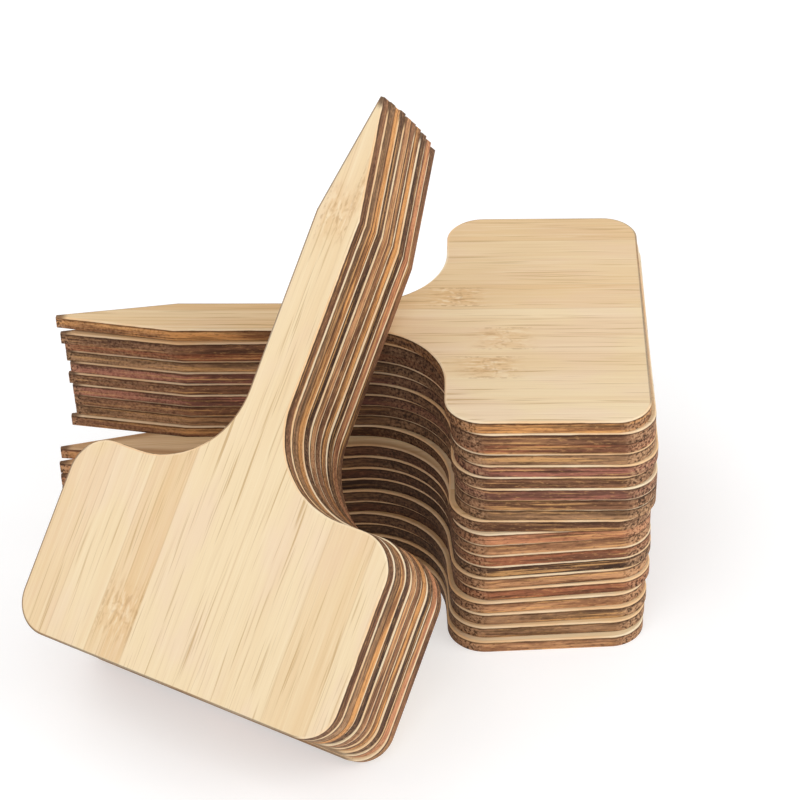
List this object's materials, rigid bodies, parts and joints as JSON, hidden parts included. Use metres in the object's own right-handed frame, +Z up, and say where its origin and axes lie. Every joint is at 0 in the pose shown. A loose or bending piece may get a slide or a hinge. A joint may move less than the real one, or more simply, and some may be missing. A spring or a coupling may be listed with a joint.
{
  "type": "plant label stake set",
  "caption": "Loose T-shaped bamboo plant labels with wide rounded heads and pointed stems: a flat-lying stack, and a bundle of the same labels leaning on it.",
  "frame": {"origin": "on the floor, on the underside of the lowest lying label, under the middle of the stack's head", "axes": "+Z up, +X along the lying labels towards their flat head ends, +Y to the back, away from the leaning bundle"},
  "size_m": [0.1038, 0.1043, 0.087],
  "materials": {
    "bamboo_lying": "sanded bamboo, cut edges scorched brown",
    "bamboo_leaning": "sanded bamboo, cut edges scorched brown"
  },
  "bodies": {
    "lying_label_01": {"lying_label_01": "bamboo_lying"},
    "lying_label_02": {"lying_label_02": "bamboo_lying"},
    "lying_label_03": {"lying_label_03": "bamboo_lying"},
    "lying_label_04": {"lying_label_04": "bamboo_lying"},
    "lying_label_05": {"lying_label_05": "bamboo_lying"},
    "lying_label_06": {"lying_label_06": "bamboo_lying"},
    "lying_label_07": {"lying_label_07": "bamboo_lying"},
    "lying_label_08": {"lying_label_08": "bamboo_lying"},
    "lying_label_09": {"lying_label_09": "bamboo_lying"},
    "lying_label_10": {"lying_label_10": "bamboo_lying"},
    "lying_label_11": {"lying_label_11": "bamboo_lying"},
    "lying_label_12": {"lying_label_12": "bamboo_lying"},
    "lying_label_13": {"lying_label_13": "bamboo_lying"},
    "lying_label_14": {"lying_label_14": "bamboo_lying"},
    "lying_label_15": {"lying_label_15": "bamboo_lying"},
    "lying_label_16": {"lying_label_16": "bamboo_lying"},
    "lying_label_17": {"lying_label_17": "bamboo_lying"},
    "lying_label_18": {"lying_label_18": "bamboo_lying"},
    "lying_label_19": {"lying_label_19": "bamboo_lying"},
    "lying_label_20": {"lying_label_20": "bamboo_lying"},
    "leaning_label_01": {"leaning_label_01": "bamboo_leaning"},
    "leaning_label_02": {"leaning_label_02": "bamboo_leaning"},
    "leaning_label_03": {"leaning_label_03": "bamboo_leaning"},
    "leaning_label_04": {"leaning_label_04": "bamboo_leaning"},
    "leaning_label_05": {"leaning_label_05": "bamboo_leaning"},
    "leaning_label_06": {"leaning_label_06": "bamboo_leaning"},
    "leaning_label_07": {"leaning_label_07": "bamboo_leaning"},
    "leaning_label_08": {"leaning_label_08": "bamboo_leaning"},
    "leaning_label_09": {"leaning_label_09": "bamboo_leaning"},
    "leaning_label_10": {"leaning_label_10": "bamboo_leaning"}
  },
  "joints": [
    {"name": "draw_lying_label_01", "type": "slide", "parent": "lying_label_20", "child": "lying_label_01", "axis": [1, 0, 0], "range_m": [0, 0.105]},
    {"name": "draw_lying_label_02", "type": "slide", "parent": "lying_label_20", "child": "lying_label_02", "axis": [1, 0.0087, 0], "range_m": [0, 0.105]},
    {"name": "draw_lying_label_03", "type": "slide", "parent": "lying_label_20", "child": "lying_label_03", "axis": [1, 0, 0], "range_m": [0, 0.105]},
    {"name": "draw_lying_label_04", "type": "slide", "parent": "lying_label_20", "child": "lying_label_04", "axis": [1, 0, 0], "range_m": [0, 0.105]},
    {"name": "draw_lying_label_05", "type": "slide", "parent": "lying_label_20", "child": "lying_label_05", "axis": [1, 0, 0], "range_m": [0, 0.105]},
    {"name": "draw_lying_label_06", "type": "slide", "parent": "lying_label_20", "child": "lying_label_06", "axis": [1, 0, 0], "range_m": [0, 0.105]},
    {"name": "draw_lying_label_07", "type": "slide", "parent": "lying_label_20", "child": "lying_label_07", "axis": [1, 0, 0], "range_m": [0, 0.105]},
    {"name": "draw_lying_label_08", "type": "slide", "parent": "lying_label_20", "child": "lying_label_08", "axis": [1, 0, 0], "range_m": [0, 0.105]},
    {"name": "draw_lying_label_09", "type": "slide", "parent": "lying_label_20", "child": "lying_label_09", "axis": [1, 0, 0], "range_m": [0, 0.105]},
    {"name": "draw_lying_label_10", "type": "slide", "parent": "lying_label_20", "child": "lying_label_10", "axis": [1, 0, 0], "range_m": [0, 0.105]},
    {"name": "draw_lying_label_11", "type": "slide", "parent": "lying_label_20", "child": "lying_label_11", "axis": [0.9969, 0.0785, 0], "range_m": [0, 0.105]},
    {"name": "draw_lying_label_12", "type": "slide", "parent": "lying_label_20", "child": "lying_label_12", "axis": [0.9954, 0.0958, 0], "range_m": [0, 0.105]},
    {"name": "draw_lying_label_13", "type": "slide", "parent": "lying_label_20", "child": "lying_label_13", "axis": [0.9949, 0.1011, 0], "range_m": [0, 0.105]},
    {"name": "draw_lying_label_14", "type": "slide", "parent": "lying_label_20", "child": "lying_label_14", "axis": [0.9945, 0.1045, 0], "range_m": [0, 0.105]},
    {"name": "draw_lying_label_15", "type": "slide", "parent": "lying_label_20", "child": "lying_label_15", "axis": [0.9938, 0.1115, 0], "range_m": [0, 0.105]},
    {"name": "draw_lying_label_16", "type": "slide", "parent": "lying_label_20", "child": "lying_label_16", "axis": [0.9949, 0.1011, 0], "range_m": [0, 0.105]},
    {"name": "draw_lying_label_17", "type": "slide", "parent": "lying_label_20", "child": "lying_label_17", "axis": [0.9954, 0.0958, 0], "range_m": [0, 0.105]},
    {"name": "draw_lying_label_18", "type": "slide", "parent": "lying_label_20", "child": "lying_label_18", "axis": [0.9966, 0.0819, 0], "range_m": [0, 0.105]},
    {"name": "draw_lying_label_19", "type": "slide", "parent": "lying_label_20", "child": "lying_label_19", "axis": [0.9976, 0.0698, 0], "range_m": [0, 0.105]},
    {"name": "tip_bundle", "type": "hinge", "parent": "lying_label_20", "child": "leaning_label_10", "pos_m": [-0.05344, -0.04773, 0], "axis": [0.8746, -0.4848, 0], "range_deg": [0, 46]},
    {"name": "lift_leaning_label_01", "type": "slide", "parent": "leaning_label_02", "child": "leaning_label_01", "axis": [-0.3368, -0.6076, 0.7193], "range_m": [0, 0.02]},
    {"name": "lift_leaning_label_02", "type": "slide", "parent": "leaning_label_03", "child": "leaning_label_02", "axis": [-0.3368, -0.6076, 0.7193], "range_m": [0, 0.02]},
    {"name": "lift_leaning_label_03", "type": "slide", "parent": "leaning_label_04", "child": "leaning_label_03", "axis": [-0.3368, -0.6076, 0.7193], "range_m": [0, 0.02]},
    {"name": "lift_leaning_label_04", "type": "slide", "parent": "leaning_label_05", "child": "leaning_label_04", "axis": [-0.3368, -0.6076, 0.7193], "range_m": [0, 0.02]},
    {"name": "lift_leaning_label_05", "type": "slide", "parent": "leaning_label_06", "child": "leaning_label_05", "axis": [-0.3368, -0.6076, 0.7193], "range_m": [0, 0.02]},
    {"name": "lift_leaning_label_06", "type": "slide", "parent": "leaning_label_07", "child": "leaning_label_06", "axis": [-0.3368, -0.6076, 0.7193], "range_m": [0, 0.02]},
    {"name": "lift_leaning_label_07", "type": "slide", "parent": "leaning_label_08", "child": "leaning_label_07", "axis": [-0.3368, -0.6076, 0.7193], "range_m": [0, 0.02]},
    {"name": "lift_leaning_label_08", "type": "slide", "parent": "leaning_label_09", "child": "leaning_label_08", "axis": [-0.3368, -0.6076, 0.7193], "range_m": [0, 0.02]},
    {"name": "lift_leaning_label_09", "type": "slide", "parent": "leaning_label_10", "child": "leaning_label_09", "axis": [-0.3368, -0.6076, 0.7193], "range_m": [0, 0.02]}
  ]
}
